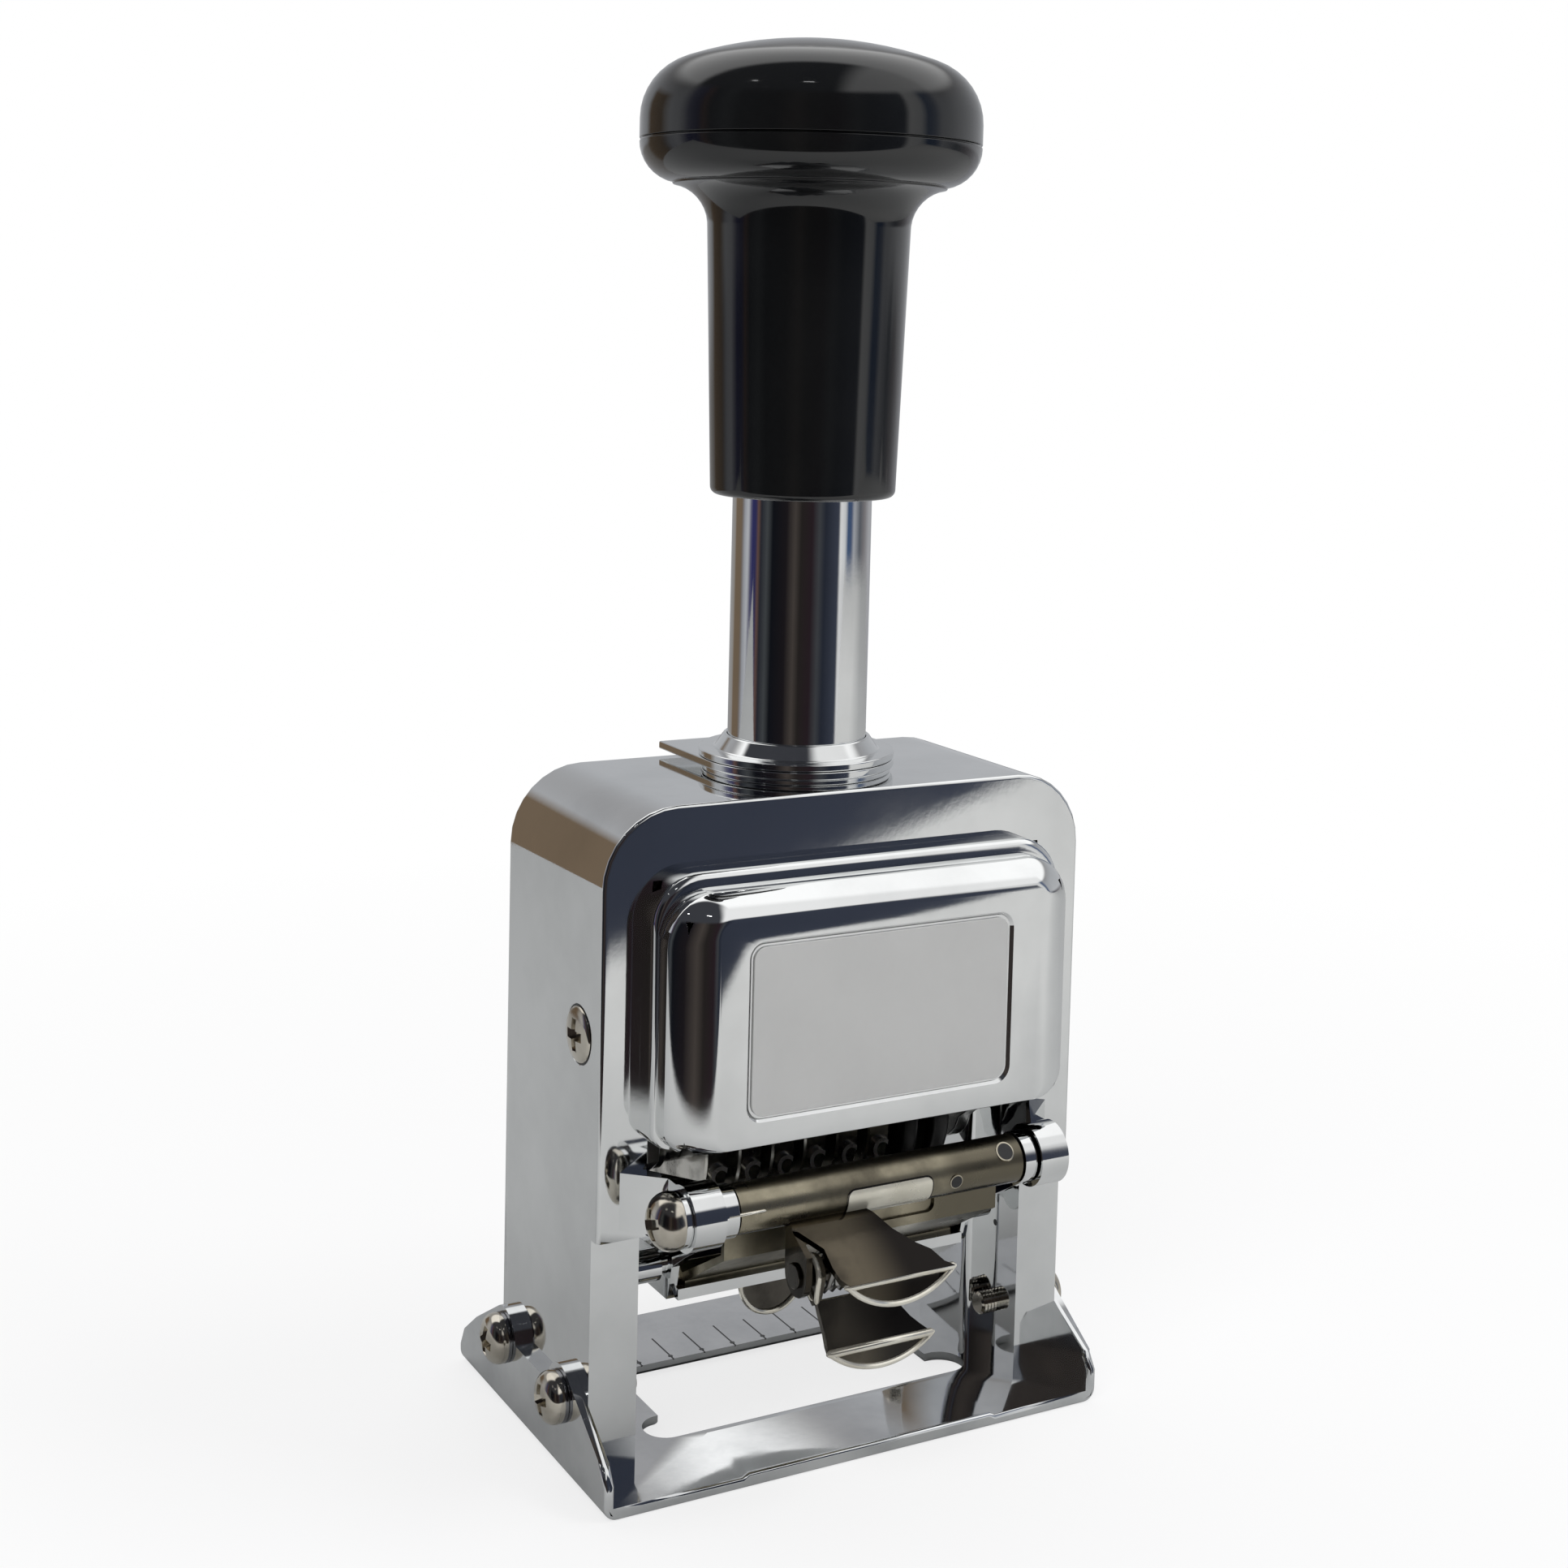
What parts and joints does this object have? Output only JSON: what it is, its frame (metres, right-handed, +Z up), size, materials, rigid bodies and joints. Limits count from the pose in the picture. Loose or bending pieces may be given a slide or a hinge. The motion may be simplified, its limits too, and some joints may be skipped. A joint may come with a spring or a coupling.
{
  "type": "numbering machine",
  "caption": "Hand numbering machine: chrome arch frame on a folded base, black knob on a plunger, swing-out ink tray, latch tongues and number wheels.",
  "frame": {"origin": "on the plunger's axis at table level, the middle of the printed line", "axes": "+Z up along the plunger, +X to the right, +Y to the rear, so the cover and tray face -Y"},
  "size_m": [0.0756, 0.0601, 0.1751],
  "materials": {
    "chrome": "polished chrome",
    "steel": "plain steel",
    "nickel": "warm nickel plate",
    "dark_nickel": "dark nickel plate",
    "screw_nickel": "bright nickel plate",
    "wheel_metal": "dark metal with ink traces",
    "black_gloss": "polished black",
    "black_matte": "plain black",
    "label": "light grey, bare",
    "ink_felt": "inked felt"
  },
  "bodies": {
    "frame": {"frame_body": "chrome", "front_cover": "chrome", "label_plate": "label", "rear_cover": "chrome", "rear_screw_1": "screw_nickel", "rear_screw_2": "screw_nickel", "rear_screw_3": "screw_nickel", "rear_screw_4": "screw_nickel", "base_plate": "chrome", "base_screw_1": "screw_nickel", "base_screw_2": "screw_nickel", "base_screw_3": "screw_nickel", "base_screw_4": "screw_nickel", "base_washer_1": "chrome", "base_washer_2": "chrome", "base_washer_3": "chrome", "base_washer_4": "chrome", "side_screw_left": "screw_nickel", "side_screw_right": "screw_nickel", "collar_seat": "chrome", "collar_ring": "chrome", "cross_bar": "steel", "spring_seat": "steel", "front_shaft": "steel", "shaft_screw": "screw_nickel", "shaft_washer": "chrome", "shaft_nut": "chrome"},
    "lock": {"lock_plate": "chrome"},
    "plunger": {"knob_cap": "black_gloss", "knob_body": "black_gloss", "plunger_tube": "chrome", "head_bridge": "steel", "head_plate_left": "steel", "head_plate_right": "steel", "wheel_axle": "steel", "axle_sleeve_left": "steel", "axle_sleeve_right": "steel", "wheel_bush": "steel", "plain_disc_1": "black_matte", "plain_disc_2": "black_matte", "detent_comb": "steel", "return_spring": "steel"},
    "yoke": {"pawl_yoke": "steel"},
    "ink_arm": {"ink_tray": "chrome", "pad_holder": "nickel", "ink_pad": "ink_felt", "pad_lid": "nickel", "pull_tab": "dark_nickel", "latch_pin": "dark_nickel", "latch_spring": "steel"},
    "latch": {"latch_lever": "nickel"},
    "wheel_1": {"number_wheel_1": "wheel_metal"},
    "wheel_2": {"number_wheel_2": "wheel_metal"},
    "wheel_3": {"number_wheel_3": "wheel_metal"},
    "wheel_4": {"number_wheel_4": "wheel_metal"},
    "wheel_5": {"number_wheel_5": "wheel_metal"},
    "wheel_6": {"number_wheel_6": "wheel_metal"}
  },
  "joints": [
    {"name": "plunger_press", "type": "slide", "parent": "frame", "child": "plunger", "axis": [0, 0, -1], "range_m": [0, 0.026], "stiffness_N_per_m": 300, "springref_m": -0.03, "deforming": ["return_spring"]},
    {"name": "ink_swing", "type": "hinge", "parent": "frame", "child": "ink_arm", "pos_m": [0, -0.0232, 0.0355], "axis": [-1, 0, 0], "range_deg": [0, 90]},
    {"name": "yoke_swing", "type": "hinge", "parent": "plunger", "child": "yoke", "pos_m": [0, 0, 0.0369], "axis": [-1, 0, 0], "range_deg": [0, 36]},
    {"name": "latch_squeeze", "type": "hinge", "parent": "ink_arm", "child": "latch", "pos_m": [0, -0.0273, 0.0279], "axis": [-1, 0, 0], "range_deg": [0, 18], "stiffness_Nm_per_rad": 0.03, "springref_deg": -11.46},
    {"name": "lock_slide", "type": "slide", "parent": "frame", "child": "lock", "axis": [0, 1, 0], "range_m": [0, 0.0012]},
    {"name": "wheel_turn_1", "type": "hinge", "parent": "plunger", "child": "wheel_1", "pos_m": [0, 0, 0.0369], "axis": [1, 0, 0], "continuous": true},
    {"name": "wheel_turn_2", "type": "hinge", "parent": "plunger", "child": "wheel_2", "pos_m": [0, 0, 0.0369], "axis": [1, 0, 0], "continuous": true},
    {"name": "wheel_turn_3", "type": "hinge", "parent": "plunger", "child": "wheel_3", "pos_m": [0, 0, 0.0369], "axis": [1, 0, 0], "continuous": true},
    {"name": "wheel_turn_4", "type": "hinge", "parent": "plunger", "child": "wheel_4", "pos_m": [0, 0, 0.0369], "axis": [1, 0, 0], "continuous": true},
    {"name": "wheel_turn_5", "type": "hinge", "parent": "plunger", "child": "wheel_5", "pos_m": [0, 0, 0.0369], "axis": [1, 0, 0], "continuous": true},
    {"name": "wheel_turn_6", "type": "hinge", "parent": "plunger", "child": "wheel_6", "pos_m": [0, 0, 0.0369], "axis": [1, 0, 0], "continuous": true}
  ],
  "couplings": [
    {"joint": "ink_swing", "follows": "plunger_press", "rad_per_m": 60.4},
    {"joint": "yoke_swing", "follows": "plunger_press", "rad_per_m": 24.1}
  ]
}
